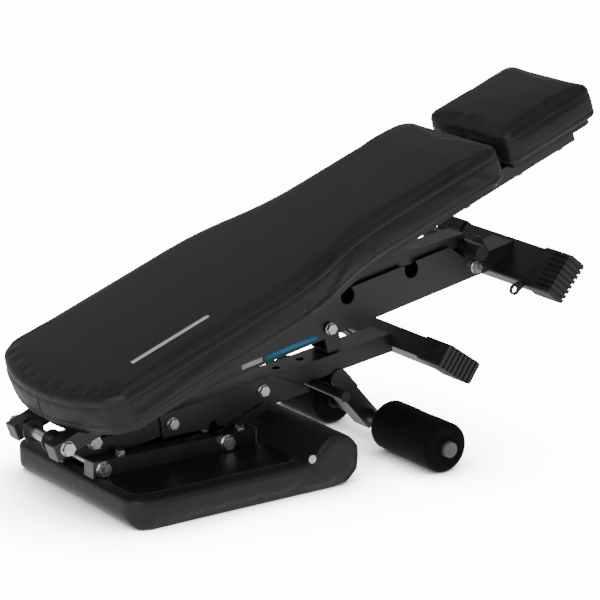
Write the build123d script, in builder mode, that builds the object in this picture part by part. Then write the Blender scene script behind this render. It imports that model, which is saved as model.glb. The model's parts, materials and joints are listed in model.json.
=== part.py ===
from build123d import *
import os
from math import acos, asin, cos, degrees, hypot, radians, sin

# Folding adjustable weight bench, shown folded and standing on its upturned seat and its
# foam rollers. Millimetres. X runs along the bench, Y across it, Z up. The origin is on the
# floor under the middle of the bench.

# ---------------------------------------------------------------- driving dimensions
bench_middle = 413.3           # from the seat's rear edge to the middle of the bench
gap = 0.3                      # clearance between faces of pieces that move apart


def at(x, z):
    """A point of the side view, its x measured from the seat's rear edge."""
    return (x - bench_middle, z)


# the three hinges of the hub and the seat prop's hinge
back_hinge = at(-53, 109)
ladder_hinge = at(16, 94)
seat_hinge = at(14, 60.5)
prop_hinge = at(230, 60.5)

# front leg: a rectangular tube, held between two hub plates
leg_origin = at(16, 78.2)
leg_angle = 7.8
beam_width = 50
beam_height = 30
beam_wall = 2.5
leg_start = 30
leg_end = 548
plate = 3                      # sheet thickness of plates and channels
plate_in = beam_width / 2 + gap
plate_out = plate_in + plate

# ladder: the same tube, between two notched side plates
ladder_origin = at(18, 119)
ladder_angle = 10.6
ladder_start = -14
ladder_end = 800
ladder_plate_start = 136
ladder_plate_end = 742
tooth_top = 50
notch_radius = 13
notch_height = 37.5

# backrest frame
back_origin = at(-70, 103)
back_angle = 20.3
rail = 25
rail_wall = 2
back_rail_in = 45
back_rail_out = back_rail_in + rail
back_rail_length = 1010
board = 12
foam = 50
bar_radius = 12.5

# feet
foot_width = 72
foot_depth = 38
foot_tube_width = 66
foot_tube_depth = 33
foot_wall = 2.5
cap_start = 103
cap_end = 163
front_foot = at(587, 146)
front_foot_angle = -35
rear_foot = at(794, 249)
rear_foot_angle = 50

# seat
prop_arm = 3
seat_rail_in = plate_out + prop_arm + 2 * gap
seat_rail_out = seat_rail_in + rail
seat_rail_start = -1
seat_rail_end = 282
seat_rail_base = 48
seat_half_width = 176
seat_length = 399
seat_rear = -8
bullnose_radius = 41

# rollers
roller_axis = at(521, 39.5)
roller_radius = 39
roller_in = 72
roller_out = 219
axle_radius = 10
fit = 0.08                     # radial clearance of a running fit


# ---------------------------------------------------------------- planes and small builders
def side_plane(point, angle=0, y=0):
    """Plane of the side view: local x along the angle, local y square to it, normal to -Y."""
    a = radians(angle)
    return Plane(origin=(point[0], y, point[1]), x_dir=(cos(a), 0, sin(a)), z_dir=(0, -1, 0))


def top_plane(point, angle, height):
    """Plane across the bench: local x along the angle, local y along Y."""
    a = radians(angle)
    origin = (point[0] - height * sin(a), 0, point[1] + height * cos(a))
    return Plane(origin=origin, x_dir=(cos(a), 0, sin(a)), z_dir=(-sin(a), 0, cos(a)))


def along(point, angle, u, v=0):
    """The side-view point that lies u along a member's axis and v above it."""
    a = radians(angle)
    return (point[0] + u * cos(a) - v * sin(a), point[1] + u * sin(a) + v * cos(a))


def box_tube(point, angle, start, end, height, half_width, wall):
    """Adds a rectangular tube, centred on y = 0, that runs along the angle."""
    with BuildSketch(side_plane(point, angle)) as outside:
        with Locations(((start + end) / 2, 0)):
            Rectangle(end - start, height)
    extrude(outside.sketch, amount=half_width, both=True)
    with BuildSketch(side_plane(point, angle)) as inside:
        with Locations(((start + end) / 2, 0)):
            Rectangle(end - start + 2 * gap, height - 2 * wall)
    extrude(inside.sketch, amount=half_width - wall, both=True, mode=Mode.SUBTRACT)


def square_rail(point, angle, start, end, y_mid, wall):
    """Adds a square rail whose middle is at y_mid."""
    near_face = y_mid + rail / 2
    with BuildSketch(side_plane(point, angle, near_face)) as outside:
        with Locations(((start + end) / 2, 0)):
            Rectangle(end - start, rail)
    extrude(outside.sketch, amount=rail)
    with BuildSketch(side_plane(point, angle, near_face - wall)) as inside:
        with Locations(((start + end) / 2, 0)):
            Rectangle(end - start + 2 * gap, rail - 2 * wall)
    extrude(inside.sketch, amount=rail - 2 * wall, mode=Mode.SUBTRACT)


def rod(point, y_low, y_high, radius, bore=0, mode=Mode.ADD):
    """Adds, or cuts, a round bar or tube along Y."""
    with BuildSketch(side_plane(point, 0, y_high)) as disc:
        Circle(radius)
        if bore:
            Circle(bore, mode=Mode.SUBTRACT)
    extrude(disc.sketch, amount=y_high - y_low, mode=mode)


def hexagon(point, y_low, y_high, flats, bore=0):
    """Adds a hexagon bar along Y, such as a bolt head or a nut."""
    with BuildSketch(side_plane(point, 0, y_high)) as hexagon_section:
        RegularPolygon(flats / 2, 6, major_radius=False)
        if bore:
            Circle(bore, mode=Mode.SUBTRACT)
    extrude(hexagon_section.sketch, amount=y_high - y_low)


def cross_bolt(point, radius, flats, y_face, bore=0):
    """Adds a bolt along Y, with washers, a head on the near side and a lock nut on the far."""
    washer = 1.5
    head = radius * 1.3
    rod(point, -y_face - washer, -y_face, flats * 0.62)
    hexagon(point, -y_face - washer - head, -y_face - washer, flats)
    rod(point, -y_face, y_face + 2 * head + washer, radius)
    rod(point, y_face, y_face + washer, flats * 0.62, radius + gap / 3)
    hexagon(point, y_face + washer, y_face + washer + 1.5 * head, flats, radius + gap / 3)


def foot_section(point, angle, width, depth, corner):
    """A foot's rounded rectangular section, as a sketch on the mid plane."""
    with BuildSketch(side_plane(point, angle)) as section:
        RectangleRounded(width, depth, corner)
    return section.sketch


def foot_tube(point, angle):
    """Adds a foot's steel cross tube."""
    outside = foot_section(point, angle, foot_tube_width, foot_tube_depth, 4)
    extrude(outside, amount=cap_end - 8, both=True)
    inside = foot_section(point, angle, foot_tube_width - 2 * foot_wall, foot_tube_depth - 2 * foot_wall, 2)
    extrude(inside, amount=cap_end, both=True, mode=Mode.SUBTRACT)


def foot_cap(point, angle, side):
    """Adds a ribbed plastic cap over one end of a foot; side is -1 near, 1 far."""
    groove_count = 7
    groove_pitch = 9
    groove_depth = 2.5
    groove_width = 3
    sleeve = 22
    middle = side * (cap_start + cap_end) / 2
    plane = side_plane(point, angle, middle)
    with BuildSketch(plane) as outside:
        RectangleRounded(foot_width, foot_depth, 6)
    extrude(outside.sketch, amount=(cap_end - cap_start) / 2, both=True)
    with BuildSketch(side_plane(point, angle, side * (cap_end - 8))) as pocket:
        RectangleRounded(foot_tube_width + gap / 3, foot_tube_depth + gap / 3, 4)
    extrude(pocket.sketch, amount=side * cap_end, mode=Mode.SUBTRACT)
    ribbed = cap_end - cap_start - sleeve
    groove_middle = side * (cap_end - ribbed / 2 + groove_depth)
    with BuildSketch(side_plane(point, angle, groove_middle)) as grooves:
        with GridLocations(groove_pitch, 0, groove_count, 1):
            Rectangle(groove_width, foot_depth + 2)
        RectangleRounded(foot_width - 1, foot_depth - 2 * groove_depth, 4, mode=Mode.SUBTRACT)
    extrude(grooves.sketch, amount=ribbed / 2, both=True, mode=Mode.SUBTRACT)
    with BuildSketch(side_plane(point, angle, side * cap_end)) as end_grooves:
        with GridLocations(groove_pitch, 0, groove_count, 1):
            Rectangle(groove_width, foot_depth + 2)
    extrude(end_grooves.sketch, amount=groove_depth, both=True, mode=Mode.SUBTRACT)


def write(piece, name):
    """Labels a finished piece and writes it to its own file."""
    piece.part.label = name
    export_step(piece.part, f"parts/{name}.step")


os.makedirs("parts", exist_ok=True)

# ---------------------------------------------------------------- strut geometry
# The strut is as long as the stretch of backrest between the two hinges that it spans, so its
# bar stays on one line through the backrest hinge.
bar_centre = along(ladder_origin, ladder_angle, 702, notch_height)
reach = hypot(bar_centre[0] - back_hinge[0], bar_centre[1] - back_hinge[1])
bar_direction = degrees(acos((bar_centre[0] - back_hinge[0]) / reach))
link = reach / 2 / cos(radians(back_angle - bar_direction))
strut_hinge = along(back_hinge, back_angle, link)
strut_angle = 2 * bar_direction - back_angle
strut_height = 20
bar_drop = 11
strut_half_width = 20
lug_radius = 11.5
sleeve_radius = 8
m10 = 5
m12 = 6

# ---------------------------------------------------------------- front frame: leg and hub
top_hole_u = 437
hole_pitch = 45
peg_centre = along(leg_origin, leg_angle, 401, -beam_height / 2 - 8)
post_top = at(462, 108)
post_length = hypot(roller_axis[0] - post_top[0], roller_axis[1] - post_top[1])
post_angle = -degrees(acos((roller_axis[0] - post_top[0]) / post_length))

with BuildPart() as leg_tube:
    box_tube(leg_origin, leg_angle, leg_start, leg_end, beam_height, beam_width / 2, beam_wall)
    with BuildSketch(top_plane(leg_origin, leg_angle, 0)) as top_holes:
        with Locations((top_hole_u, 0), (top_hole_u - hole_pitch, 0), (top_hole_u - 2 * hole_pitch, 0)):
            Circle(6.5)
    extrude(top_holes.sketch, amount=beam_height, mode=Mode.SUBTRACT)
    for u in (137, 301):
        rod(along(leg_origin, leg_angle, u), -beam_width, beam_width, m10 + 0.2, mode=Mode.SUBTRACT)
    foot_cut = foot_section(front_foot, front_foot_angle, foot_tube_width, foot_tube_depth, 4)
    extrude(foot_cut, amount=beam_width, both=True, mode=Mode.SUBTRACT)
write(leg_tube, "leg_tube")

channel_start = 118
channel_top_end = 321
channel_low_end = 384
notch_places = ((207, -26), (256, -28), (296, -27))
prop_bar_radius = 6
prop_notch = prop_bar_radius + 0.8

with BuildPart() as leg_channel:
    wall_top = beam_height / 2 + gap / 3
    for y in (plate_out, -plate_in):
        with BuildSketch(side_plane(leg_origin, leg_angle, y)) as channel_wall:
            with BuildLine():
                Polyline((channel_start, -18), (184, -27), (268, -38), (282, -38), (316, -28),
                         (channel_low_end, -29), (channel_low_end, -22),
                         (channel_top_end, wall_top + plate), (channel_start, wall_top + plate),
                         close=True)
            make_face()
            for u, v in notch_places:
                with Locations((u, v)):
                    Circle(prop_notch, mode=Mode.SUBTRACT)
                with BuildLine():
                    Polyline((u - prop_notch, v), (u + prop_notch, v), (u + prop_notch + 12, v - 24),
                             (u - prop_notch, v - 24), close=True)
                make_face(mode=Mode.SUBTRACT)
        extrude(channel_wall.sketch, amount=plate)
    with BuildSketch(side_plane(leg_origin, leg_angle)) as channel_roof:
        with Locations(((channel_start + channel_top_end) / 2, wall_top + plate / 2)):
            Rectangle(channel_top_end - channel_start, plate)
    extrude(channel_roof.sketch, amount=plate_out, both=True)
    for u in (137, 301):
        rod(along(leg_origin, leg_angle, u), -beam_width, beam_width, m10 + 0.2, mode=Mode.SUBTRACT)
write(leg_channel, "leg_channel")


def hub_plate(y):
    """Adds one hub plate: it joins the three hinges and laps over the front leg's tube."""
    with BuildSketch(side_plane((0, 0), 0, y)) as hub:
        with BuildLine():
            Polyline(back_hinge, ladder_hinge, along(leg_origin, leg_angle, 100, 12),
                     along(leg_origin, leg_angle, 106, -14), seat_hinge, back_hinge)
        make_face()
        for hinge, boss in ((back_hinge, 17), (ladder_hinge, 15), (seat_hinge, 11)):
            with Locations(hinge):
                Circle(boss)
        with Locations(back_hinge):
            Circle(9 + fit, mode=Mode.SUBTRACT)
        for hinge in (ladder_hinge, seat_hinge):
            with Locations(hinge):
                Circle(m12 + fit, mode=Mode.SUBTRACT)
    extrude(hub.sketch, amount=plate)


with BuildPart() as hub_plate_near:
    hub_plate(-plate_in)
write(hub_plate_near, "hub_plate_near")

with BuildPart() as hub_plate_far:
    hub_plate(plate_out)
write(hub_plate_far, "hub_plate_far")

with BuildPart() as ladder_pivot_bolt:
    cross_bolt(ladder_hinge, m12, 18, plate_out)
write(ladder_pivot_bolt, "ladder_pivot_bolt")

with BuildPart() as channel_bolts:
    for u in (137, 301):
        cross_bolt(along(leg_origin, leg_angle, u), m10, 15, plate_out)
write(channel_bolts, "channel_bolts")

with BuildPart() as front_foot_tube:
    foot_tube(front_foot, front_foot_angle)
write(front_foot_tube, "front_foot_tube")

with BuildPart() as front_cap_near:
    foot_cap(front_foot, front_foot_angle, -1)
write(front_cap_near, "front_cap_near")

with BuildPart() as front_cap_far:
    foot_cap(front_foot, front_foot_angle, 1)
write(front_cap_far, "front_cap_far")

# roller post: a tube with two round-topped cheeks that clasp the leg
with BuildPart() as roller_post:
    box_tube(post_top, post_angle, 14, post_length + 17, beam_height, 20, beam_wall)
    for y in (plate_out, -plate_in):
        with BuildSketch(side_plane(post_top, post_angle, y)) as cheek:
            with Locations((12, 0)):
                Rectangle(36, beam_height)
            with Locations((-6, 0)):
                Circle(beam_height / 2)
        extrude(cheek.sketch, amount=plate)
    for y in (plate_in, -20):
        with BuildSketch(side_plane(post_top, post_angle, y)) as packing:
            with Locations((24, 0)):
                Rectangle(12, beam_height)
        extrude(packing.sketch, amount=plate_in - 20)
    rod(roller_axis, -30, 30, axle_radius, mode=Mode.SUBTRACT)
write(roller_post, "roller_post")

with BuildPart() as roller_axle:
    rod(roller_axis, -roller_out - 4, roller_out + 4, axle_radius, axle_radius - 2)
write(roller_axle, "roller_axle")

with BuildPart() as roller_end_caps:
    for y in (-roller_out - 10, roller_out + 4.2):
        rod(roller_axis, y, y + 5.8, 12)
    for y in (-roller_out - 4.2, roller_out - 14):
        rod(roller_axis, y, y + 18.2, axle_radius - 2.1)
write(roller_end_caps, "roller_end_caps")

with BuildPart() as band_peg_bar:
    rod(peg_centre, -100, 100, 8, 6)
write(band_peg_bar, "band_peg_bar")

with BuildPart() as band_peg_plugs:
    for y in (-103, 100):
        rod(peg_centre, y, y + 3, 8.6)
    for y in (-100, 88):
        rod(peg_centre, y, y + 12, 5.9)
write(band_peg_plugs, "band_peg_plugs")


# ---------------------------------------------------------------- foam rollers
def roller_sleeve(y_low, y_high):
    """Adds the plastic sleeve that turns on the axle inside the foam."""
    rod(roller_axis, y_low, y_high, 13, axle_radius + fit)


def roller_foam(y_low, y_high):
    """Adds one foam roller with rounded rims."""
    with BuildSketch(side_plane(roller_axis, 0, y_high)) as ring:
        Circle(roller_radius)
        Circle(13, mode=Mode.SUBTRACT)
    solid = extrude(ring.sketch, amount=y_high - y_low)
    rims = solid.edges().filter_by(GeomType.CIRCLE).filter_by(lambda e: e.radius > 20)
    fillet(rims, 7)


with BuildPart() as roller_sleeve_near:
    roller_sleeve(-roller_out, -roller_in)
write(roller_sleeve_near, "roller_sleeve_near")

with BuildPart() as roller_foam_near:
    roller_foam(-roller_out, -roller_in)
write(roller_foam_near, "roller_foam_near")

with BuildPart() as roller_sleeve_far:
    roller_sleeve(roller_in, roller_out)
write(roller_sleeve_far, "roller_sleeve_far")

with BuildPart() as roller_foam_far:
    roller_foam(roller_in, roller_out)
write(roller_foam_far, "roller_foam_far")

# ---------------------------------------------------------------- ladder
ladder_bolt_u = 426
ladder_nut_u = 714

with BuildPart() as ladder_tube:
    box_tube(ladder_origin, ladder_angle, ladder_start, ladder_end, beam_height, beam_width / 2, beam_wall)
    for u in (ladder_bolt_u, ladder_nut_u):
        rod(along(ladder_origin, ladder_angle, u), -beam_width, beam_width, m10 + 0.2, mode=Mode.SUBTRACT)
    foot_cut = foot_section(rear_foot, rear_foot_angle, foot_tube_width, foot_tube_depth, 4)
    extrude(foot_cut, amount=beam_width, both=True, mode=Mode.SUBTRACT)
write(ladder_tube, "ladder_tube")


def ladder_plate(y):
    """Adds one notched side plate of the ladder."""
    notch_pitch = 124
    first_notch = 593
    mouth_depth = 24
    foot_of_plate = -beam_height / 2
    with BuildSketch(side_plane(ladder_origin, ladder_angle, y)) as ladder_side:
        with BuildLine():
            Polyline((ladder_plate_start, foot_of_plate), (ladder_plate_end, foot_of_plate),
                     (ladder_plate_end, 14), (ladder_plate_end - 8, 44), (724, 49), (719, 44),
                     (714, 24), (694, 24), (670, tooth_top - 1), (ladder_plate_start + 40, tooth_top),
                     (ladder_plate_start, 20), close=True)
        make_face()
        for count in range(4):
            notch = first_notch - count * notch_pitch
            with Locations((notch, notch_height)):
                Circle(notch_radius, mode=Mode.SUBTRACT)
            with Locations((notch - 1, notch_height + mouth_depth / 2)):
                Rectangle(2 * notch_radius - 4, mouth_depth, mode=Mode.SUBTRACT)
        for u in (ladder_bolt_u, ladder_nut_u):
            with Locations((u, 0)):
                Circle(m10 + 0.2, mode=Mode.SUBTRACT)
    extrude(ladder_side.sketch, amount=plate)


with BuildPart() as ladder_plate_near:
    ladder_plate(-plate_in)
write(ladder_plate_near, "ladder_plate_near")

with BuildPart() as ladder_plate_far:
    ladder_plate(plate_out)
write(ladder_plate_far, "ladder_plate_far")

with BuildPart() as ladder_pivot_lug:
    lug_top = along(ladder_origin, ladder_angle, 20, -beam_height / 2)
    with BuildSketch(side_plane((0, 0))) as lug:
        with BuildLine():
            Polyline(along(ladder_origin, ladder_angle, -12, -beam_height / 2 - 0.1), lug_top,
                     (ladder_hinge[0] + 8, ladder_hinge[1] - 3), (ladder_hinge[0] - 8, ladder_hinge[1] - 3),
                     close=True)
        make_face()
        with Locations(ladder_hinge):
            Circle(9)
            Circle(m12 + fit, mode=Mode.SUBTRACT)
    extrude(lug.sketch, amount=beam_width / 2 - 0.2, both=True)
write(ladder_pivot_lug, "ladder_pivot_lug")

with BuildPart() as rear_foot_tube:
    foot_tube(rear_foot, rear_foot_angle)
write(rear_foot_tube, "rear_foot_tube")

with BuildPart() as rear_cap_near:
    foot_cap(rear_foot, rear_foot_angle, -1)
write(rear_cap_near, "rear_cap_near")

with BuildPart() as rear_cap_far:
    foot_cap(rear_foot, rear_foot_angle, 1)
write(rear_cap_far, "rear_cap_far")

# eyes for a tie strap, welded to the foot's lower edge
eye_centre = at(745, 225)
eye_root = along(rear_foot, rear_foot_angle, -22, 15.2)
with BuildPart() as foot_eyes:
    for y in (-94, 98):
        with BuildSketch(side_plane((0, 0), 0, y)) as eye:
            with BuildLine():
                Polyline((eye_centre[0] + 3, eye_centre[1] - 8.5), (eye_root[0] + 6, eye_root[1] - 6),
                         eye_root, (eye_centre[0] - 3, eye_centre[1] + 8.5), close=True)
            make_face()
            with Locations(eye_centre):
                Circle(9)
                Circle(5, mode=Mode.SUBTRACT)
        extrude(eye.sketch, amount=4)
write(foot_eyes, "foot_eyes")

with BuildPart() as ladder_bolts:
    cross_bolt(along(ladder_origin, ladder_angle, ladder_bolt_u), m10, 15, plate_out + plate + 0.2)
    cross_bolt(along(ladder_origin, ladder_angle, ladder_nut_u), m10, 16, plate_out)
write(ladder_bolts, "ladder_bolts")

# stop bracket: a folded plate under the ladder, with a rubber buffer that rests on the leg
stop_u = 434
stop_length = 26
stop_half_width = 22
buffer_thickness = 3
stop_top = -beam_height / 2 - 0.1
leg_below = along(leg_origin, leg_angle, stop_u - stop_length / 2, beam_height / 2 + gap)
stop_gap = (leg_below[1] - ladder_origin[1]) * cos(radians(ladder_angle))
stop_gap = stop_gap - (leg_below[0] - ladder_origin[0]) * sin(radians(ladder_angle))
stop_floor = stop_gap + buffer_thickness + 0.1

with BuildPart() as stop_bracket:
    for y in (stop_half_width, plate - stop_half_width):
        with BuildSketch(side_plane(ladder_origin, ladder_angle, y)) as stop_cheek:
            with Locations((stop_u, (stop_top + stop_floor) / 2)):
                Rectangle(stop_length, stop_top - stop_floor)
        extrude(stop_cheek.sketch, amount=plate)
    with BuildSketch(side_plane(ladder_origin, ladder_angle)) as stop_web:
        with Locations((stop_u, stop_floor + plate / 2)):
            Rectangle(stop_length, plate)
    extrude(stop_web.sketch, amount=stop_half_width, both=True)
write(stop_bracket, "stop_bracket")

with BuildPart() as stop_buffer:
    with BuildSketch(side_plane(ladder_origin, ladder_angle)) as buffer_side:
        with Locations((stop_u, stop_gap + buffer_thickness / 2)):
            Rectangle(stop_length - 4, buffer_thickness)
    extrude(buffer_side.sketch, amount=stop_half_width - 2, both=True)
write(stop_buffer, "stop_buffer")

# ---------------------------------------------------------------- backrest hinge axle
with BuildPart() as back_axle_sleeve:
    rod(back_hinge, -back_rail_in + gap, back_rail_in - gap, 9, m12 + gap / 3)
write(back_axle_sleeve, "back_axle_sleeve")

with BuildPart() as back_axle_bolt:
    cross_bolt(back_hinge, m12, 18, back_rail_out + gap)
write(back_axle_bolt, "back_axle_bolt")


# ---------------------------------------------------------------- backrest
def back_rail(y_mid):
    """Adds one long rail of the backrest, bored for the hinge bolts and the pads' bolts."""
    square_rail(back_origin, back_angle, 0, back_rail_length, y_mid, rail_wall)
    rod(back_hinge, y_mid - rail, y_mid + rail, m12 + fit, mode=Mode.SUBTRACT)
    rod(strut_hinge, y_mid - rail, y_mid + rail, m10 + 0.2, mode=Mode.SUBTRACT)
    with BuildSketch(top_plane(back_origin, back_angle, -rail)) as bolt_holes:
        for u in pad_bolt_places:
            with Locations((u, y_mid)):
                Circle(4.2)
    extrude(bolt_holes.sketch, amount=2 * rail, mode=Mode.SUBTRACT)


back_rail_mid = (back_rail_in + back_rail_out) / 2
pad_bolt_places = (110, 300, 560, 790, 900, 985)

with BuildPart() as back_rail_near:
    back_rail(-back_rail_mid)
write(back_rail_near, "back_rail_near")

with BuildPart() as back_rail_far:
    back_rail(back_rail_mid)
write(back_rail_far, "back_rail_far")

with BuildPart() as back_rail_plugs:
    for y in (-back_rail_mid, back_rail_mid):
        for u, inward in ((-2, 4), (back_rail_length + 2, -4)):
            with BuildSketch(side_plane(back_origin, back_angle, y)) as flange:
                with Locations((u + inward / 4, 0)):
                    Rectangle(2, rail)
            extrude(flange.sketch, amount=rail / 2, both=True)
            with BuildSketch(side_plane(back_origin, back_angle, y)) as plug:
                with Locations((u + inward / 2 + inward * 0.75, 0)):
                    Rectangle(6, rail - 2 * rail_wall - 0.4)
            extrude(plug.sketch, amount=rail / 2 - rail_wall - 0.2, both=True)
write(back_rail_plugs, "back_rail_plugs")

with BuildPart() as back_cross_tubes:
    for u in (180, 840, 995):
        with BuildSketch(side_plane(back_origin, back_angle)) as cross_tube:
            with Locations((u, 0)):
                Rectangle(20, 20)
                Rectangle(16, 16, mode=Mode.SUBTRACT)
        extrude(cross_tube.sketch, amount=back_rail_in, both=True)
write(back_cross_tubes, "back_cross_tubes")

with BuildPart() as strut_pivot_bolt:
    cross_bolt(strut_hinge, m10, 15, back_rail_out + 0.2)
write(strut_pivot_bolt, "strut_pivot_bolt")

pad_floor = rail / 2 + board
wide = 165
narrow = 122
pad_start = 28
pad_end = 842
head_start = 866
head_end = 1046
head_half_width = 101


def main_outline(shrink):
    """The outline of the long pad, wide at the hinge end and slim under the shoulders."""
    with BuildSketch(top_plane(back_origin, back_angle, 0)) as outline:
        with BuildLine():
            side = (wide - shrink, narrow - shrink)
            start = pad_start + shrink
            end_arc = ThreePointArc((start, 0), (start + 8, 72), (start + 36, 146 - shrink))
            corner = Line(end_arc @ 1, (start + 62, side[0]))
            straight = Line(corner @ 1, (370, side[0]))
            middle = (490, (side[0] + side[1]) / 2)
            TangentArc(straight @ 1, middle, tangent=(1, 0))
            TangentArc((610, side[1]), middle, tangent=(-1, 0))
            Line((610, side[1]), (pad_end - shrink, side[1]))
            Line((pad_end - shrink, side[1]), (pad_end - shrink, 0))
            mirror(about=Plane.XZ)
        make_face()
        fillet(outline.vertices().group_by(Axis.X)[-1], 30)
        lower = outline.vertices().filter_by(lambda p: abs(p.Y) > 130)
        fillet(lower.filter_by_position(Axis.X, -1000, 1000).group_by(Axis.X)[0], 30)
    return outline.sketch


def raised(sketch, height):
    """A sketch of the backrest's plane, lifted square to it."""
    a = radians(back_angle)
    return sketch.moved(Location((-height * sin(a), 0, height * cos(a))))


def round_top(pad, radius):
    """Rounds the edge of a backrest pad's upper face."""
    lift = top_plane(back_origin, back_angle, 0).z_dir
    upper = pad.faces().sort_by(lambda face: face.center().dot(lift))[-1]
    fillet(upper.edges(), radius)


with BuildPart() as back_board:
    extrude(raised(main_outline(8), rail / 2), amount=board)
    with BuildSketch(top_plane(back_origin, back_angle, 0)) as board_holes:
        for u in pad_bolt_places[:4]:
            with Locations((u, back_rail_mid), (u, -back_rail_mid)):
                Circle(4.2)
    extrude(board_holes.sketch, amount=rail / 2 + 9, mode=Mode.SUBTRACT)
write(back_board, "back_board")

with BuildPart() as back_pad:
    extrude(raised(main_outline(0), pad_floor), amount=foam)
    round_top(back_pad, 8)
write(back_pad, "back_pad")


def head_outline(shrink):
    """The outline of the small head pad."""
    with BuildSketch(top_plane(back_origin, back_angle, 0)) as outline:
        with Locations(((head_start + head_end) / 2, 0)):
            RectangleRounded(head_end - head_start - 2 * shrink, 2 * (head_half_width - shrink), 16)
    return outline.sketch


with BuildPart() as head_board:
    extrude(raised(head_outline(8), rail / 2), amount=board)
    with BuildSketch(top_plane(back_origin, back_angle, 0)) as head_holes:
        for u in pad_bolt_places[4:]:
            with Locations((u, back_rail_mid), (u, -back_rail_mid)):
                Circle(4.2)
    extrude(head_holes.sketch, amount=rail / 2 + 9, mode=Mode.SUBTRACT)
write(head_board, "head_board")

with BuildPart() as head_pad:
    extrude(raised(head_outline(0), pad_floor), amount=foam)
    round_top(head_pad, 8)
write(head_pad, "head_pad")

with BuildPart() as pad_bolts:
    for u in pad_bolt_places:
        for y in (-back_rail_mid, back_rail_mid):
            with BuildSketch(top_plane(back_origin, back_angle, -rail / 2 - 5.3)) as heads:
                with Locations((u, y)):
                    RegularPolygon(6.5, 6, major_radius=False)
            extrude(heads.sketch, amount=5.3)
            with BuildSketch(top_plane(back_origin, back_angle, -rail / 2)) as shanks:
                with Locations((u, y)):
                    Circle(4)
            extrude(shanks.sketch, amount=rail + 8)
write(pad_bolts, "pad_bolts")

# ---------------------------------------------------------------- strut
with BuildPart() as strut_sleeve:
    rod(strut_hinge, -back_rail_in + gap, back_rail_in - gap, sleeve_radius, m10 + fit)
write(strut_sleeve, "strut_sleeve")

with BuildPart() as strut_lug:
    rod(strut_hinge, -strut_half_width, strut_half_width, lug_radius, sleeve_radius + fit)
write(strut_lug, "strut_lug")

strut_length = hypot(bar_centre[0] - strut_hinge[0], bar_centre[1] - strut_hinge[1])
tube_angle = strut_angle + degrees(asin(bar_drop / strut_length))
with BuildPart() as strut_tube:
    box_tube(strut_hinge, tube_angle, 6, strut_length + 4, strut_height, strut_half_width, 2)
    rod(strut_hinge, -2 * strut_half_width, 2 * strut_half_width, lug_radius + 0.05, mode=Mode.SUBTRACT)
    rod(bar_centre, -2 * strut_half_width, 2 * strut_half_width, bar_radius + 0.05, mode=Mode.SUBTRACT)
write(strut_tube, "strut_tube")

with BuildPart() as strut_bar:
    rod(bar_centre, -66, 66, bar_radius, bar_radius - 2)
write(strut_bar, "strut_bar")

with BuildPart() as strut_bar_plugs:
    for y in (-69, 66):
        rod(bar_centre, y, y + 3, bar_radius)
    for y in (-66, 56):
        rod(bar_centre, y, y + 10, bar_radius - 2.2)
write(strut_bar_plugs, "strut_bar_plugs")


# ---------------------------------------------------------------- seat
def seat_rail(y_mid):
    """Adds one rail of the seat, bored for the hinge, the prop and the board's bolts."""
    middle = seat_rail_base + rail / 2
    square_rail(at(0, middle), 0, seat_rail_start, seat_rail_end, y_mid, rail_wall)
    for hinge in (seat_hinge, prop_hinge):
        rod(hinge, y_mid - rail, y_mid + rail, m12 + fit, mode=Mode.SUBTRACT)
    with BuildSketch(Plane.XY.offset(seat_rail_base - 1)) as bolt_holes:
        for x in seat_bolt_places:
            with Locations((at(x, 0)[0], y_mid)):
                Circle(4.2)
    extrude(bolt_holes.sketch, amount=rail + 2, mode=Mode.SUBTRACT)


seat_bolt_places = (51, 261)
seat_rail_mid = (seat_rail_in + seat_rail_out) / 2

with BuildPart() as seat_rail_near:
    seat_rail(-seat_rail_mid)
write(seat_rail_near, "seat_rail_near")

with BuildPart() as seat_rail_far:
    seat_rail(seat_rail_mid)
write(seat_rail_far, "seat_rail_far")

with BuildPart() as seat_rail_plugs:
    rail_axis = at(0, seat_rail_base + rail / 2)
    for y in (-seat_rail_mid, seat_rail_mid):
        for u, inward in ((seat_rail_start - 2, 4), (seat_rail_end + 2, -4)):
            with BuildSketch(side_plane(rail_axis, 0, y)) as flange:
                with Locations((u + inward / 4, 0)):
                    Rectangle(2, rail)
            extrude(flange.sketch, amount=rail / 2, both=True)
            with BuildSketch(side_plane(rail_axis, 0, y)) as plug:
                with Locations((u + inward / 2 + inward * 0.75, 0)):
                    Rectangle(6, rail - 2 * rail_wall - 0.4)
            extrude(plug.sketch, amount=rail / 2 - rail_wall - 0.2, both=True)
write(seat_rail_plugs, "seat_rail_plugs")

board_recess = 6
board_start = 12
board_end = 292
board_half_width = 150
with BuildPart() as seat_board:
    with BuildSketch(Plane.XY.offset(seat_rail_base - board_recess)) as board_sketch:
        with Locations((at((board_start + board_end) / 2, 0)[0], 0)):
            RectangleRounded(board_end - board_start, 2 * board_half_width, 24)
        for x in seat_bolt_places:
            with Locations((at(x, 0)[0], seat_rail_mid), (at(x, 0)[0], -seat_rail_mid)):
                Circle(4.2, mode=Mode.SUBTRACT)
    extrude(board_sketch.sketch, amount=board_recess)
write(seat_board, "seat_board")

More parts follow.
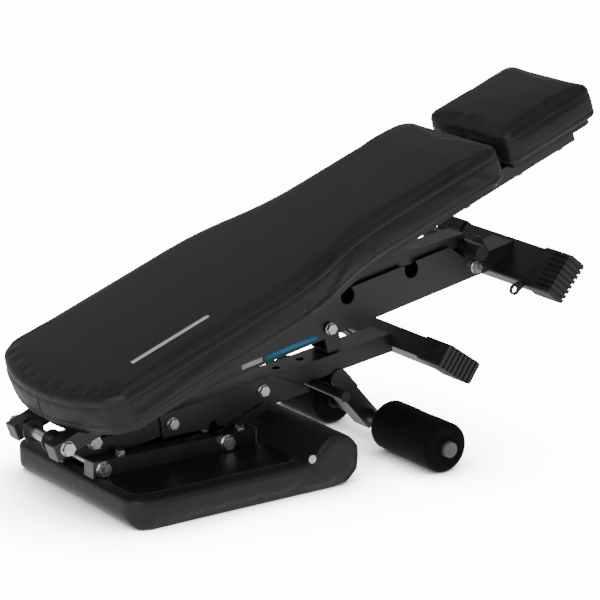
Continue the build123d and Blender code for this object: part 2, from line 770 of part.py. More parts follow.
nose = at(seat_rear + seat_length - bullnose_radius, 0)[0]
rear = at(seat_rear, 0)[0]
board_edge = at(board_end + 4, 0)[0]
rear_round = 26
with BuildPart() as seat_pad:
    with BuildSketch(side_plane((0, 0))) as seat_profile:
        with BuildLine():
            Polyline((nose, 0), (rear + rear_round, 0))
            RadiusArc((rear + rear_round, 0), (rear, rear_round), rear_round)
            Polyline((rear, rear_round), (rear, seat_rail_base), (board_edge, seat_rail_base))
            Spline((board_edge, seat_rail_base), (nose, 2 * bullnose_radius), tangents=((1, 0.2), (1, 0)))
            ThreePointArc((nose, 2 * bullnose_radius), (nose + bullnose_radius, bullnose_radius), (nose, 0))
        make_face()
    extrude(seat_profile.sketch, amount=seat_half_width, both=True)
    with BuildSketch(Plane.XY) as seat_plan:
        with Locations((rear + seat_length / 2, 0)):
            Rectangle(seat_length, 2 * seat_half_width)
        fillet(seat_plan.vertices().group_by(Axis.X)[0], 32)
        fillet(seat_plan.vertices().group_by(Axis.X)[-1], 6)
    extrude(seat_plan.sketch, amount=2 * bullnose_radius + 1, mode=Mode.INTERSECT)
    with BuildSketch(Plane.XY.offset(seat_rail_base - board_recess)) as recess:
        with Locations((at((board_start + board_end) / 2, 0)[0], 0)):
            RectangleRounded(board_end - board_start, 2 * board_half_width, 24)
    extrude(recess.sketch, amount=2 * board_recess, mode=Mode.SUBTRACT)
    for x in seat_bolt_places:
        for y in (-seat_rail_mid, seat_rail_mid):
            with BuildSketch(Plane.XY.offset(seat_rail_base - 9)) as seat_bolt_hole:
                with Locations((at(x, 0)[0], y)):
                    Circle(4.2)
            extrude(seat_bolt_hole.sketch, amount=9, mode=Mode.SUBTRACT)
write(seat_pad, "seat_pad")

with BuildPart() as seat_bolts:
    bolt_top = seat_rail_base + rail
    for x in seat_bolt_places:
        for y in (-seat_rail_mid, seat_rail_mid):
            with BuildSketch(Plane.XY.offset(bolt_top)) as washer:
                with Locations((at(x, 0)[0], y)):
                    Circle(8.5)
            extrude(washer.sketch, amount=1.4)
            with BuildSketch(Plane.XY.offset(bolt_top + 1.4)) as seat_bolt_head:
                with Locations((at(x, 0)[0], y)):
                    RegularPolygon(6.5, 6, major_radius=False)
            extrude(seat_bolt_head.sketch, amount=5.3)
            with BuildSketch(Plane.XY.offset(bolt_top)) as seat_bolt_shank:
                with Locations((at(x, 0)[0], y)):
                    Circle(4)
            extrude(seat_bolt_shank.sketch, amount=-rail - 5)
write(seat_bolts, "seat_bolts")

with BuildPart() as seat_pivot_bolt:
    cross_bolt(seat_hinge, m12, 19, seat_rail_out)
    for y in (-seat_rail_in, plate_out + gap):
        rod(seat_hinge, y, y + prop_arm + gap, 10)
write(seat_pivot_bolt, "seat_pivot_bolt")

with BuildPart() as prop_bolt:
    cross_bolt(prop_hinge, m12, 19, seat_rail_out)
write(prop_bolt, "prop_bolt")

# seat prop: two flat arms and a bar, which sits in the channel's last notch
prop_bar = along(leg_origin, leg_angle, notch_places[-1][0], notch_places[-1][1])
prop_length = hypot(prop_bar[0] - prop_hinge[0], prop_bar[1] - prop_hinge[1])
prop_angle = degrees(asin((prop_bar[1] - prop_hinge[1]) / prop_length))
prop_half_width = plate_out + gap + prop_arm
with BuildPart() as seat_prop:
    for y in (prop_half_width, prop_arm - prop_half_width):
        with BuildSketch(side_plane(prop_hinge, prop_angle, y)) as arm:
            with Locations((prop_length / 2, 0)):
                SlotCenterToCenter(prop_length, 16)
            Circle(m12 + fit, mode=Mode.SUBTRACT)
        extrude(arm.sketch, amount=prop_arm)
    rod(prop_bar, -prop_half_width, prop_half_width, prop_bar_radius)
write(seat_prop, "seat_prop")

with BuildPart() as cover_nails:
    for y in (-1, 1):
        nail = at(303, 53)
        rod(nail, y * 174.5 - 2.5, y * 174.5 + 2.5, 6.5)
write(cover_nails, "cover_nails")
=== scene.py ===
import json
import math

import bmesh
import bpy
from mathutils import Matrix, Vector, noise
from mathutils.bvhtree import BVHTree


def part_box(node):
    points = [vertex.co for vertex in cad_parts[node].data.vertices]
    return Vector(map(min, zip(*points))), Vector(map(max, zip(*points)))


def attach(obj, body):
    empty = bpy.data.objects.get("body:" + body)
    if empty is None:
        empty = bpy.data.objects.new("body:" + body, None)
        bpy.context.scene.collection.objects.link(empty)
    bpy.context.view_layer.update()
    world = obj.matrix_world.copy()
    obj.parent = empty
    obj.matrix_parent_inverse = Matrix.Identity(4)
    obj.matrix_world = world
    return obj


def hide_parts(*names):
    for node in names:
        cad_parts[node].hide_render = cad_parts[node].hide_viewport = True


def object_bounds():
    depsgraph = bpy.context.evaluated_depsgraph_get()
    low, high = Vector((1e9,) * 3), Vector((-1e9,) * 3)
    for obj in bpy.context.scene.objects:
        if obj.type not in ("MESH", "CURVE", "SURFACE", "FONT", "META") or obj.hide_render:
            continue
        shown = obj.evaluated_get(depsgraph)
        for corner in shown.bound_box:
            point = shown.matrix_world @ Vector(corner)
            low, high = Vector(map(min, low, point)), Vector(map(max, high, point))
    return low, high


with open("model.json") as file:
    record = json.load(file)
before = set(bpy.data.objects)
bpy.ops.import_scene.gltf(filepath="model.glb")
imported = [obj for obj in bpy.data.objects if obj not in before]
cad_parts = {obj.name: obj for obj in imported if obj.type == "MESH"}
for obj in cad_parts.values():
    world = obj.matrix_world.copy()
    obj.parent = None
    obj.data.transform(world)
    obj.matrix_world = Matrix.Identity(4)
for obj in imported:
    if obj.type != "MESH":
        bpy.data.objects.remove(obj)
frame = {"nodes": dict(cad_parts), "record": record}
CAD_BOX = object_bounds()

MM = 0.001
Y_AXIS = Vector((0, 1, 0))
RECORD = frame["record"]
NODES = frame["nodes"]
HINGE = {joint["name"]: Vector(joint["pos_m"]) for joint in RECORD["behaviour"]["joints"]}
SLOT_OF = {part["node"]: part["material_slot"] for part in RECORD["subparts"]}


# ------------------------------------------------------------------ the members' own axes
def member_frame(origin, along):
    """Matrix from a member's own axes (x along it, y across the bench, z up off it) to the bench's."""
    x = along.normalized()
    z = x.cross(Y_AXIS)
    axes = Matrix((x, Y_AXIS, z)).transposed().to_4x4()
    return Matrix.Translation(origin) @ axes


# the ladder tube's middle line: a point on it at the hinge end, and its slope as folded
LADDER_START = Vector((-0.3953, 0, 0.119))
LADDER_SLOPE = math.radians(10.6)

BACK = member_frame(HINGE["backrest_tilt"], HINGE["strut_swing"] - HINGE["backrest_tilt"])
LADDER = member_frame(LADDER_START, Vector((math.cos(LADDER_SLOPE), 0, math.sin(LADDER_SLOPE))))
FLAT = Matrix.Identity(4)


# ------------------------------------------------------------------ materials
def new_material(name):
    """A new node material with its shader."""
    material = bpy.data.materials.new(name)
    material.use_nodes = True
    return material, material.node_tree.nodes, material.node_tree.links


def add(nodes, kind, **values):
    """A shader node with some of its inputs set."""
    node = nodes.new(kind)
    for key, value in values.items():
        node.inputs[key.replace("_", " ")].default_value = value
    return node


def grain(nodes, links, scale, detail):
    """Noise in the object's own coordinates, scale in cells per metre."""
    where = nodes.new("ShaderNodeTexCoord")
    texture = add(nodes, "ShaderNodeTexNoise", Scale=scale, Detail=detail, Roughness=0.55)
    links.new(where.outputs["Object"], texture.inputs["Vector"])
    return texture


def cells(nodes, links, scale):
    """Voronoi cells in the object's own coordinates."""
    where = nodes.new("ShaderNodeTexCoord")
    texture = add(nodes, "ShaderNodeTexVoronoi", Scale=scale)
    links.new(where.outputs["Object"], texture.inputs["Vector"])
    return texture


def ramp(nodes, links, source, low, high):
    """Two colours, blended by a texture's value."""
    node = nodes.new("ShaderNodeValToRGB")
    for stop, position, colour in zip(node.color_ramp.elements, (0.35, 0.65), (low, high)):
        stop.position = position
        stop.color = (*colour, 1)
    links.new(source, node.inputs["Fac"])
    return node.outputs["Color"]


def level(nodes, links, source, low, high):
    """A texture's value, moved to run from low to high."""
    node = add(nodes, "ShaderNodeMapRange", From_Min=0.3, From_Max=0.7, To_Min=low, To_Max=high)
    links.new(source, node.inputs["Value"])
    return node.outputs["Result"]


def mottle(nodes, links, texture, dark, light, smooth, rough):
    """Gives the shader a colour and a roughness that both follow one texture."""
    shader = nodes["Principled BSDF"]
    value = texture.outputs["Fac"]
    links.new(ramp(nodes, links, value, dark, light), shader.inputs["Base Color"])
    links.new(level(nodes, links, value, smooth, rough), shader.inputs["Roughness"])


def bump(nodes, links, height, distance, under=None):
    """A bump of that many metres, over another normal if there is one."""
    node = add(nodes, "ShaderNodeBump", Strength=1.0, Distance=distance)
    links.new(height, node.inputs["Height"])
    if under is not None:
        links.new(under, node.inputs["Normal"])
    return node.outputs["Normal"]


def soft_edge(nodes, radius):
    """A normal that rounds sharp edges, as a rolled or coated edge is."""
    node = nodes.new("ShaderNodeBevel")
    node.samples = 4
    node.inputs["Radius"].default_value = radius
    return node.outputs["Normal"]


def powder_coat():
    """Satin black powder coat: fine orange peel, rounded edges, faint dust."""
    material, nodes, links = new_material("powder_coat")
    shader = nodes["Principled BSDF"]
    shader.inputs["Specular IOR Level"].default_value = 0.5
    shader.inputs["Coat Weight"].default_value = 0.25
    shader.inputs["Coat Roughness"].default_value = 0.28
    dust = grain(nodes, links, 22.0, 5.0)
    mottle(nodes, links, dust, (0.008, 0.008, 0.009), (0.016, 0.016, 0.017), 0.36, 0.48)
    peel = grain(nodes, links, 900.0, 2.0)
    edge = soft_edge(nodes, 1.1 * MM)
    links.new(bump(nodes, links, peel.outputs["Fac"], 0.06 * MM, edge), shader.inputs["Normal"])
    return material


def leatherette():
    """Black upholstery vinyl: pebbled grain, soft creases, a slight sheen."""
    material, nodes, links = new_material("leatherette")
    shader = nodes["Principled BSDF"]
    shader.inputs["Specular IOR Level"].default_value = 0.42
    shader.inputs["Sheen Weight"].default_value = 0.08
    shader.inputs["Sheen Roughness"].default_value = 0.4
    wear = grain(nodes, links, 9.0, 6.0)
    mottle(nodes, links, wear, (0.0075, 0.0075, 0.008), (0.0125, 0.0125, 0.013), 0.43, 0.53)
    crease = grain(nodes, links, 34.0, 3.0)
    pebble = cells(nodes, links, 720.0)
    pores = grain(nodes, links, 1900.0, 2.0)
    first = bump(nodes, links, crease.outputs["Fac"], 0.5 * MM)
    second = bump(nodes, links, pebble.outputs["Distance"], 0.16 * MM, first)
    links.new(bump(nodes, links, pores.outputs["Fac"], 0.05 * MM, second), shader.inputs["Normal"])
    return material


def foam():
    """Matte closed-cell foam with an open, slightly pitted skin."""
    material, nodes, links = new_material("foam_skin")
    shader = nodes["Principled BSDF"]
    shader.inputs["Specular IOR Level"].default_value = 0.14
    shader.inputs["Sheen Weight"].default_value = 0.02
    shade = grain(nodes, links, 60.0, 4.0)
    mottle(nodes, links, shade, (0.0022, 0.0022, 0.0022), (0.0048, 0.0048, 0.0048), 0.8, 0.92)
    pits = cells(nodes, links, 620.0)
    links.new(bump(nodes, links, pits.outputs["Distance"], 0.5 * MM), shader.inputs["Normal"])
    return material


def plastic(name, dark, light, roughness, edge_radius=0.7 * MM):
    """Moulded plastic with a fine spark-eroded texture."""
    material, nodes, links = new_material(name)
    shader = nodes["Principled BSDF"]
    shade = grain(nodes, links, 40.0, 4.0)
    mottle(nodes, links, shade, dark, light, roughness - 0.05, roughness + 0.06)
    texture = grain(nodes, links, 1300.0, 2.0)
    edge = soft_edge(nodes, edge_radius)
    links.new(bump(nodes, links, texture.outputs["Fac"], 0.07 * MM, edge), shader.inputs["Normal"])
    return material


def zinc():
    """Bright zinc-plated steel with faint turning marks."""
    material, nodes, links = new_material("zinc_plate")
    shader = nodes["Principled BSDF"]
    shader.inputs["Metallic"].default_value = 1.0
    stain = grain(nodes, links, 130.0, 4.0)
    mottle(nodes, links, stain, (0.5, 0.5, 0.49), (0.78, 0.78, 0.76), 0.2, 0.34)
    marks = grain(nodes, links, 1500.0, 2.0)
    edge = soft_edge(nodes, 0.6 * MM)
    links.new(bump(nodes, links, marks.outputs["Fac"], 0.03 * MM, edge), shader.inputs["Normal"])
    return material


def board_backing():
    """The pads' board, with its black backing cloth."""
    material, nodes, links = new_material("board_backing")
    shader = nodes["Principled BSDF"]
    fibre = grain(nodes, links, 260.0, 5.0)
    mottle(nodes, links, fibre, (0.004, 0.004, 0.004), (0.009, 0.009, 0.009), 0.26, 0.38)
    links.new(bump(nodes, links, fibre.outputs["Fac"], 0.2 * MM), shader.inputs["Normal"])
    return material


LEATHER = leatherette()
FOAM = foam()
SLOT_MATERIAL = {
    "black_powder_coat": powder_coat(),
    "black_leatherette": LEATHER,
    "black_foam": FOAM,
    "black_plastic": plastic("moulded_black", (0.008, 0.008, 0.008), (0.017, 0.017, 0.018), 0.5),
    "grey_plastic": plastic("moulded_grey", (0.10, 0.10, 0.105), (0.15, 0.15, 0.155), 0.42),
    "zinc_steel": zinc(),
    "board": board_backing(),
    "rubber": plastic("buffer_rubber", (0.01, 0.01, 0.01), (0.02, 0.02, 0.02), 0.75),
}
THREAD = plastic("sewing_thread", (0.02, 0.02, 0.021), (0.035, 0.035, 0.036), 0.6, 0.1 * MM)
PALE_PRINT = plastic("pale_print", (0.62, 0.62, 0.62), (0.7, 0.7, 0.7), 0.45, 0.1 * MM)
BLUE_PRINT = plastic("blue_print", (0.03, 0.24, 0.5), (0.04, 0.28, 0.56), 0.45, 0.1 * MM)

for name, node in NODES.items():
    for place in node.material_slots:
        place.material = SLOT_MATERIAL[SLOT_OF[name]]


# ------------------------------------------------------------------ mesh helpers
def new_piece(name, mesh, material, body):
    """A smooth-shaded piece with its material and body."""
    piece = bpy.data.objects.new(name, mesh)
    bpy.context.scene.collection.objects.link(piece)
    mesh.materials.clear()
    mesh.materials.append(material)
    for face in mesh.polygons:
        face.use_smooth = True
    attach(piece, body)
    return piece


def bake_modifiers(piece):
    """Replaces a piece's mesh by what its modifiers make of it."""
    bpy.context.view_layer.update()
    graph = bpy.context.evaluated_depsgraph_get()
    mesh = bpy.data.meshes.new_from_object(piece.evaluated_get(graph))
    piece.modifiers.clear()
    piece.data = mesh


def tube_mesh(name, path, radius, closed=True):
    """A tube of a small radius along a list of points."""
    curve = bpy.data.curves.new(name, "CURVE")
    curve.dimensions = "3D"
    curve.bevel_depth = radius
    curve.bevel_resolution = 2
    spline = curve.splines.new("POLY")
    spline.points.add(len(path) - 1)
    for point, place in zip(spline.points, path):
        point.co = (*place, 1)
    spline.use_cyclic_u = closed
    holder = bpy.data.objects.new(name, curve)
    bpy.context.scene.collection.objects.link(holder)
    bpy.context.view_layer.update()
    graph = bpy.context.evaluated_depsgraph_get()
    mesh = bpy.data.meshes.new_from_object(holder.evaluated_get(graph))
    bpy.data.objects.remove(holder)
    return mesh


def level_range(node, place):
    """Lowest and highest corner of a CAD node in a member's own axes."""
    inverse = place.inverted()
    points = [inverse @ v.co for v in NODES[node].data.vertices]
    low = Vector([min(p[i] for p in points) for i in range(3)])
    high = Vector([max(p[i] for p in points) for i in range(3)])
    return low, high


def join_rings(work, rings):
    """Faces between each ring of vertices and the next."""
    for a, b in zip(rings, rings[1:]):
        for k in range(len(a)):
            work.faces.new((a[k], a[k - len(a) + 1], b[k - len(a) + 1], b[k]))


def closed_mesh(work, name):
    """A mesh from finished work, with its faces turned outward."""
    bmesh.ops.recalc_face_normals(work, faces=work.faces[:])
    mesh = bpy.data.meshes.new(name)
    work.to_mesh(mesh)
    work.free()
    return mesh


# ------------------------------------------------------------------ cushions
SWELL_STEPS = 20
VOXEL = 4.5 * MM


def swell(piece, pressure, cap, held):
    """Fills a closed cover with air by cloth simulation, and caps how far it moves."""
    start = [v.co.copy() for v in piece.data.vertices]
    group = piece.vertex_groups.new(name="held")
    group.add([i for i, co in enumerate(start) if held(co)], 1.0, "REPLACE")
    cloth = piece.modifiers.new("cloth", "CLOTH")
    settings = cloth.settings
    settings.quality = 4
    settings.mass = 0.3
    settings.tension_stiffness = 25
    settings.compression_stiffness = 25
    settings.shear_stiffness = 12
    settings.bending_stiffness = 3
    settings.use_pressure = True
    settings.uniform_pressure_force = pressure
    settings.vertex_group_mass = "held"
    settings.effector_weights.gravity = 0
    cloth.collision_settings.use_collision = False
    scene = bpy.context.scene
    for step in range(1, SWELL_STEPS + 1):
        scene.frame_set(step)
    bake_modifiers(piece)
    scene.frame_set(1)
    for vertex, old in zip(piece.data.vertices, start):
        move = vertex.co - old
        if move.length > cap:
            vertex.co = old + move.normalized() * cap
    piece.vertex_groups.clear()


def refine(piece):
    """Divides each face once, smoothly."""
    divide = piece.modifiers.new("refine", "SUBSURF")
    divide.levels = 1
    divide.render_levels = 1
    bake_modifiers(piece)


def crown(mesh, low, high, rise):
    """Lifts the middle of a cushion's upper face into a slight dome."""
    reach = 70 * MM
    for vertex in mesh.vertices:
        co = vertex.co
        if co.z > (low.z + high.z) / 2:
            ends = min(co.x - low.x, high.x - co.x, reach) / reach
            across = 1 - (co.y / high.y) ** 2
            vertex.co.z += rise * max(0, across) ** 0.5 * max(0, ends) ** 0.5
    mesh.update()


def cover(node, name, place, growth, pressure, cap, held, rise=0.0):
    """A filled cover in the member's own axes, started from the CAD cushion."""
    mesh = NODES[node].data.copy()
    mesh.transform(place.inverted())
    piece = bpy.data.objects.new(name, mesh)
    bpy.context.scene.collection.objects.link(piece)
    remesh = piece.modifiers.new("remesh", "REMESH")
    remesh.mode = "VOXEL"
    remesh.voxel_size = VOXEL
    bake_modifiers(piece)
    normals = [v.normal.copy() for v in piece.data.vertices]
    for vertex, normal in zip(piece.data.vertices, normals):
        vertex.co += normal * growth
    crown(piece.data, *level_range(node, place), rise)
    swell(piece, pressure, cap, held)
    refine(piece)
    return piece


def section_loop(mesh, point, normal, spacing):
    """Evenly spaced points round the longest section of a mesh by a plane."""
    work = bmesh.new()
    work.from_mesh(mesh)
    cut = bmesh.ops.bisect_plane(work, geom=work.verts[:] + work.edges[:] + work.faces[:],
                                 plane_co=point, plane_no=normal, dist=1e-7)
    edges = [e for e in cut["geom_cut"] if isinstance(e, bmesh.types.BMEdge)]
    links = {}
    for edge in edges:
        a, b = edge.verts
        links.setdefault(a, []).append(b)
        links.setdefault(b, []).append(a)
    longest = []
    left = set(links)
    while left:
        first = min(left, key=lambda v: v.index)
        loop = [first]
        left.discard(first)
        here = first
        while True:
            ahead = [v for v in links[here] if v in left]
            if not ahead:
                break
            here = ahead[0]
            left.discard(here)
            loop.append(here)
        if len(loop) > len(longest):
            longest = loop
    points = [v.co.copy() for v in longest]
    work.free()
    return even(points, spacing)


def even(points, spacing):
    """A closed line's points, moved to an even spacing."""
    ring = points + [points[0]]
    lengths = [0.0]
    for a, b in zip(ring, ring[1:]):
        lengths.append(lengths[-1] + (b - a).length)
    count = max(8, round(lengths[-1] / spacing))
    out = []
    k = 0
    for i in range(count):
        want = lengths[-1] * i / count
        while lengths[k + 1] < want:
            k += 1
        share = (want - lengths[k]) / max(lengths[k + 1] - lengths[k], 1e-9)
        out.append(ring[k].lerp(ring[k + 1], share))
    return out


def smooth_loop(points):
    """Takes the small steps out of a closed line."""
    for _ in range(2):
        ahead = points[1:] + points[:1]
        points = [(points[i - 1] + 2 * p + ahead[i]) / 4 for i, p in enumerate(points)]
    return points


def pinch(mesh, height, depth, width):
    """Draws a sewn groove round the sides of a cover, at a height in its own axes."""
    normals = [v.normal.copy() for v in mesh.vertices]
    for vertex, normal in zip(mesh.vertices, normals):
        side = Vector((normal.x, normal.y, 0))
        if side.length > 0.5:
            off = (vertex.co.z - height) / width
            vertex.co -= side.normalized() * depth * math.exp(-off * off)
    mesh.update()


def stitch_mesh(name, loop, normals, length, radius):
    """Short rounded stitches laid along a closed line."""
    work = bmesh.new()
    turns = [k * math.tau / 6 for k in range(6)]
    for i, point in enumerate(loop):
        along = (loop[(i + 1) % len(loop)] - loop[i - 1]).normalized()
        out = normals[i]
        side = along.cross(out).normalized()
        spokes = [side * math.cos(turn) + out * math.sin(turn) for turn in turns]
        rings = []
        for share, size in ((-0.5, 0.25), (-0.3, 1.0), (0.3, 1.0), (0.5, 0.25)):
            middle = point + along * length * share
            rings.append([work.verts.new(middle + spoke * radius * size) for spoke in spokes])
        join_rings(work, rings)
        work.faces.new(rings[0][::-1])
        work.faces.new(rings[-1])
    return closed_mesh(work, name)


def ribbon(name, upper, lower, out, lift, material, place, body, slot):
    """A thin printed band between two lines of points, closed all round."""
    work = bmesh.new()
    rings = []
    for a, b in zip(upper, lower):
        corners = (a + out * lift, b + out * lift, b - out * lift, a - out * lift)
        rings.append([work.verts.new(corner) for corner in corners])
    join_rings(work, rings)
    work.faces.new(rings[0][::-1])
    work.faces.new(rings[-1])
    mesh = closed_mesh(work, name)
    mesh.transform(place)
    new_piece(name, mesh, material, body)


def outward(loop):
    """The level outward direction at each point of a closed line round a pad."""
    centre = sum(loop, Vector()) / len(loop)
    out = []
    for before, after in zip(loop[-1:] + loop[:-1], loop[1:] + loop[:1]):
        along = after - before
        out.append(Vector((along.y, -along.x, 0)).normalized())
    turn = sum(n.dot(p - centre) for n, p in zip(out, loop))
    return out if turn > 0 else [-n for n in out]


def sew_round(piece, name, height, place, body, rows):
    """A sewn seam round a cover: a groove, a cord in it and rows of stitches beside it."""
    pinch(piece.data, height, 1.3 * MM, 2.2 * MM)
    loop = smooth_loop(section_loop(piece.data, (0, 0, height), (0, 0, 1), 4 * MM))
    cord = tube_mesh(name + "_seam", loop, 0.8 * MM)
    cord.transform(place)
    new_piece(name + "_seam", cord, LEATHER, body)
    for row in rows:
        line = section_loop(piece.data, (0, 0, height + row), (0, 0, 1), 5.5 * MM)
        stitches = stitch_mesh(name + "_stitches", line, outward(line), 3.6 * MM, 0.45 * MM)
        stitches.transform(place)
        new_piece(name + "_stitches", stitches, THREAD, body)


def finish_cover(piece, name, node, place, body):
    """Turns a finished cover into a piece in the bench's axes."""
    mesh = piece.data
    mesh.transform(place)
    bpy.data.objects.remove(piece)
    done = new_piece(name, mesh, LEATHER, body)
    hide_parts(node)


def drape(faces, points, start, direction):
    """Drops points onto a cover along a direction, and gives where they land."""
    landed = []
    for point in points:
        origin = point - direction * start
        place = faces.ray_cast(origin, direction)[0]
        if place is not None:
            landed.append(place)
    return landed


def face_tree(piece):
    """The faces of a cover, ready for dropping points onto it."""
    mesh = piece.data
    return BVHTree.FromPolygons([v.co for v in mesh.vertices], [p.vertices for p in mesh.polygons])


def end_seam(faces, low, high):
    """The upright seam in the middle of the long cushion's lower end."""
    count = 16
    off_middle = -8 * MM
    bottom, top = low.z + 3 * MM, high.z - 10 * MM
    line = [Vector((low.x, off_middle, bottom + (top - bottom) * k / count)) for k in range(count + 1)]
    landed = drape(faces, line, 0.1, Vector((1, 0, 0)))
    seam = tube_mesh("end_seam", landed, 0.9 * MM, closed=False)
    seam.transform(BACK)
    new_piece("end_seam", seam, LEATHER, "backrest")


def pad_mark(faces, high):
    """A plain pale band printed near the lower end of the long cushion."""
    count = 40
    start, end, middle, half = 0.126, 0.266, -0.106, 4 * MM
    up = Vector((0, 0, 1))
    lines = []
    for side in (half, -half):
        line = [Vector((start + (end - start) * k / count, middle + side, high.z)) for k in range(count + 1)]
        lines.append(drape(faces, line, 0.1, -up))
    ribbon("pad_mark", *lines, up, 0.35 * MM, PALE_PRINT, BACK, "backrest", "black_leatherette")


def rest_on(piece, base):
    """Keeps a cover from bulging below its board or the floor."""
    for vertex in piece.data.vertices:
        vertex.co.z = max(vertex.co.z, base)
    piece.data.update()


def backrest_cushion(node, name):
    """One of the backrest's two cushions, sewn near its top edge and near its board."""
    low, high = level_range(node, BACK)
    piece = cover(node, name, BACK, growth=2.0 * MM, pressure=3.0, cap=2.2 * MM,
                  held=lambda co: co.z < low.z + 5 * MM, rise=6 * MM)
    rest_on(piece, low.z + 0.1 * MM)
    sew_round(piece, name, high.z - 12 * MM, BACK, "backrest", (3.0 * MM, -3.0 * MM))
    sew_round(piece, name + "_low", low.z + 9 * MM, BACK, "backrest", (3.0 * MM,))
    if node == "back_pad":
        faces = face_tree(piece)
        end_seam(faces, low, high)
        pad_mark(faces, high)
    finish_cover(piece, name, node, BACK, "backrest")


RIM_INSET = 6 * MM
RIM_SEAMS = (("seat_rim", RIM_INSET, 0.9 * MM), ("seat_rim_row", 10 * MM, 0.5 * MM))


def nose_rim(low, high, board_end, inset):
    """The side view of the seat's rim: along the board, then over and round the nose."""
    radius = (high.z - low.z) / 2
    centre = Vector((high.x - radius, 0, low.z + radius))
    level_part, climb, bend = 40, 10, 24
    seam_height = 43 * MM
    start = low.x + 45 * MM
    points = []
    for k in range(level_part):
        height = seam_height - (inset - RIM_INSET)
        points.append(Vector((start + (board_end - start) * k / level_part, 0, height)))
    crest = centre + Vector((0, 0, radius - inset))
    for k in range(climb):
        share = k / climb
        ease = share * share * (3 - 2 * share)
        points.append(Vector((board_end + (crest.x - board_end) * share, 0,
                              seam_height + (crest.z - seam_height) * ease)))
    for k in range(bend + 1):
        turn = math.pi / 2 - k / bend * math.pi * 0.9
        points.append(centre + Vector((math.cos(turn), 0, math.sin(turn))) * (radius - inset))
    return points


def seat_cushion():
    """The seat's cushion, lying on its top face, sewn along the rim of its two sides."""
    low, high = level_range("seat_pad", FLAT)
    board_low, board_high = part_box("seat_board")

    def under_board(co):
        """True where the board holds the cover."""
        along = board_low.x - 6 * MM < co.x < board_high.x
        return along and abs(co.y) < board_high.y and co.z > board_low.z - 4 * MM

    piece = cover("seat_pad", "seat_cushion", FLAT, growth=0.4 * MM, pressure=2.5, cap=2.0 * MM,
                  held=under_board)
    rest_on(piece, low.z + 0.2 * MM)
    faces = face_tree(piece)
    for side in (-1, 1):
        for name, inset, radius in RIM_SEAMS:
            line = nose_rim(low, high, board_high.x, inset)
            landed = drape(faces, line, 0.4, Vector((0, -side, 0)))
            seam = tube_mesh(name, landed, radius, closed=False)
            new_piece(name, seam, LEATHER, "seat")
    finish_cover(piece, "seat_cushion", "seat_pad", FLAT, "seat")


backrest_cushion("back_pad", "back_cushion")
backrest_cushion("head_pad", "head_cushion")
seat_cushion()


# ------------------------------------------------------------------ printed bands on the ladder
def ladder_marks():
    """Plain printed bands on the ladder's near side plate."""
    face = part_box("ladder_plate_near")[0].y
    middle, half = -5.5 * MM, 4 * MM
    for name, start, end, material in (("pale_band", 0.262, 0.300, PALE_PRINT),
                                       ("blue_band", 0.306, 0.402, BLUE_PRINT)):
        lines = [[Vector((x, face, middle + side)) for x in (start, end)] for side in (half, -half)]
        ribbon(name, *lines, -Y_AXIS, 0.25 * MM, material, LADDER, "ladder", "black_powder_coat")


ladder_marks()


# ------------------------------------------------------------------ foam rollers
ROLLER_SIDES = 96


def roller_profile(start, end, radius):
    """Places along the axle and radii of a roller's skin, from the near bore to the far one."""
    rim = 8 * MM
    bore = 13.2 * MM
    dish = 2.0 * MM
    rim_steps, middle_steps = 8, 24
    near = [(start + 1.5 * dish, bore), (start + dish, bore + 3 * MM), (start + 0.4 * dish, radius * 0.6)]
    for k in range(rim_steps + 1):
        turn = k / rim_steps * math.pi / 2
        near.append((start + rim * (1 - math.sin(math.pi / 2 - turn)) + 0.2 * MM,
                     radius - rim * (1 - math.sin(turn))))
    far = [(start + end - y, r) for y, r in reversed(near)]
    middle = []
    first, last = near[-1][0], far[0][0]
    for k in range(1, middle_steps):
        share = k / middle_steps
        middle.append((first + (last - first) * share, radius - 0.7 * MM * math.sin(share * math.pi) ** 8))
    return near + middle + far


def roller(node, name, body):
    """A foam roller: soft rims, dished ends and a skin that is not quite even."""
    low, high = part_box(node)
    axis = HINGE["roller_spin_near"]
    radius = (high.z - low.z) / 2
    work = bmesh.new()
    rings = []
    for y, r in roller_profile(low.y, high.y, radius):
        ring = []
        for k in range(ROLLER_SIDES):
            turn = k * math.tau / ROLLER_SIDES
            spoke = Vector((math.cos(turn), 0, math.sin(turn)))
            uneven = 1 + 0.004 * noise.noise(Vector((spoke.x * 2, y * 30, spoke.z * 2)))
            reach = min(r * uneven, radius + 0.3 * MM)
            ring.append(work.verts.new(Vector((axis.x, y, axis.z)) + spoke * reach))
        rings.append(ring)
    join_rings(work, rings + rings[:1])
    piece = new_piece(name, closed_mesh(work, name), FOAM, body)
    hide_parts(node)


roller("roller_foam_near", "roller_near_foam", "roller_near")
roller("roller_foam_far", "roller_far_foam", "roller_far")


# ------------------------------------------------------------------ studio
BACKDROP_GLOW = 14.0
# how dark and how far out the painted contact shadow on the floor's glow reaches
CONTACT_SHADE = 2.6
CONTACT_REACH = 0.2
FLOOR_LIGHT = 0.75
SKY = ((0.05, 0.30), (0.42, 0.50), (0.64, 0.15))
LAMPS = (("overhead", (-0.4, -0.4, 2.8), 2.0, 13), ("window", (-2.6, -2.2, 1.9), 1.6, 45))
TARGET = Vector((-0.0108, 0, 0.2407))
AZIMUTH = math.radians(-34.64)
ELEVATION = math.radians(15.85)
DISTANCE = 4.4362
LENS = 174.05


def arithmetic(nodes, links, operation, source, *numbers):
    """A maths node, worked on one linked value and some plain numbers."""
    node = nodes.new("ShaderNodeMath")
    node.operation = operation
    links.new(source, node.inputs[0])
    for place, number in enumerate(numbers, 1):
        node.inputs[place].default_value = number
    return node


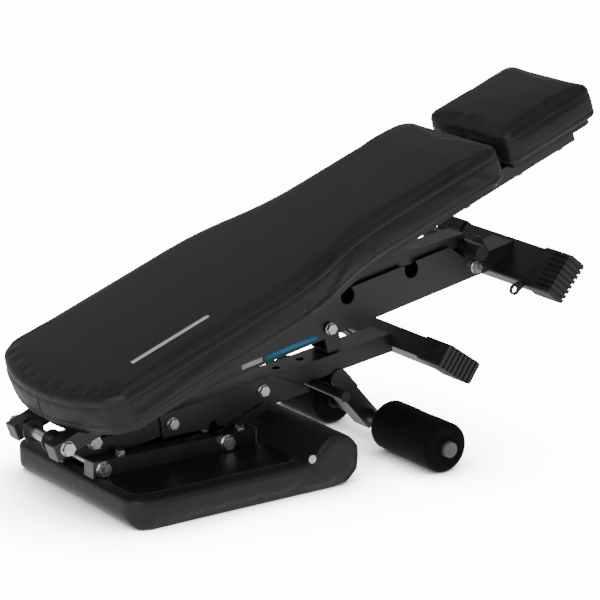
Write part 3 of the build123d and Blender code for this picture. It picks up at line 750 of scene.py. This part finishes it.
def studio_floor():
    """A pale floor whose glow is darkened close to the bench as a painted contact shadow, and that also
    lights the bench from below.
    """
    bpy.ops.mesh.primitive_plane_add(size=30, location=(0, 0, 0))
    floor = bpy.context.object
    floor.name = "floor"
    material, nodes, links = new_material("pale_floor")
    shader = nodes["Principled BSDF"]
    shader.inputs["Base Color"].default_value = (0.6, 0.6, 0.6, 1)
    shader.inputs["Roughness"].default_value = 0.8
    shader.inputs["Emission Color"].default_value = (1, 1, 1, 1)
    near = nodes.new("ShaderNodeAmbientOcclusion")
    near.inputs["Distance"].default_value = CONTACT_REACH
    near.samples = 8
    seen = nodes.new("ShaderNodeLightPath").outputs["Is Camera Ray"]
    # painted contact shadow: ambient occlusion darkens the floor's glow next to the bench
    painted_contact_shadow = arithmetic(nodes, links, "POWER", near.outputs["AO"], CONTACT_SHADE)
    shown = arithmetic(nodes, links, "MULTIPLY", painted_contact_shadow.outputs[0])
    links.new(seen, shown.inputs[1])
    glow = arithmetic(nodes, links, "MULTIPLY", shown.outputs[0], BACKDROP_GLOW)
    unseen = arithmetic(nodes, links, "MULTIPLY_ADD", seen, -FLOOR_LIGHT, FLOOR_LIGHT)
    total = arithmetic(nodes, links, "ADD", glow.outputs[0])
    links.new(unseen.outputs[0], total.inputs[1])
    links.new(total.outputs[0], shader.inputs["Emission Strength"])
    floor.data.materials.append(material)


def studio_sky():
    """A soft grey surround, brightest a little above the horizon."""
    world = bpy.data.worlds.new("studio")
    world.use_nodes = True
    nodes, links = world.node_tree.nodes, world.node_tree.links
    toward = nodes.new("ShaderNodeTexCoord")
    split = nodes.new("ShaderNodeSeparateXYZ")
    shade = nodes.new("ShaderNodeValToRGB")
    stops = shade.color_ramp.elements
    stops.new(0.5)
    for stop, (height, strength) in zip(stops, SKY):
        stop.position = height
        stop.color = (strength, strength, strength, 1)
    links.new(toward.outputs["Generated"], split.inputs[0])
    links.new(split.outputs["Z"], shade.inputs["Fac"])
    links.new(shade.outputs["Color"], nodes["Background"].inputs["Color"])
    bpy.context.scene.world = world


def aimed(name, data, place, toward):
    """Adds a lamp or a camera at a place, looking along a direction."""
    holder = bpy.data.objects.new(name, data)
    holder.location = place
    holder.rotation_mode = "QUATERNION"
    holder.rotation_quaternion = toward.to_track_quat("-Z", "Y")
    bpy.context.scene.collection.objects.link(holder)
    return holder


def studio_lamps():
    """Two large soft lamps, aimed at the middle of the bench."""
    low, high = CAD_BOX
    middle = (low + high) / 2
    for name, place, size, power in LAMPS:
        lamp = bpy.data.lights.new(name, "AREA")
        lamp.size = size
        lamp.energy = power
        aimed(name, lamp, place, middle - Vector(place))


def studio_camera():
    """The camera, a little above the bench, off its near side and toward its hinge end."""
    back = Vector((math.sin(AZIMUTH) * math.cos(ELEVATION), -math.cos(AZIMUTH) * math.cos(ELEVATION),
                   math.sin(ELEVATION)))
    lens = bpy.data.cameras.new("camera")
    lens.sensor_width = 36
    lens.lens = LENS
    lens.clip_end = 100
    bpy.context.scene.camera = aimed("camera", lens, TARGET + back * DISTANCE, -back)


studio_floor()
studio_sky()
studio_lamps()
studio_camera()
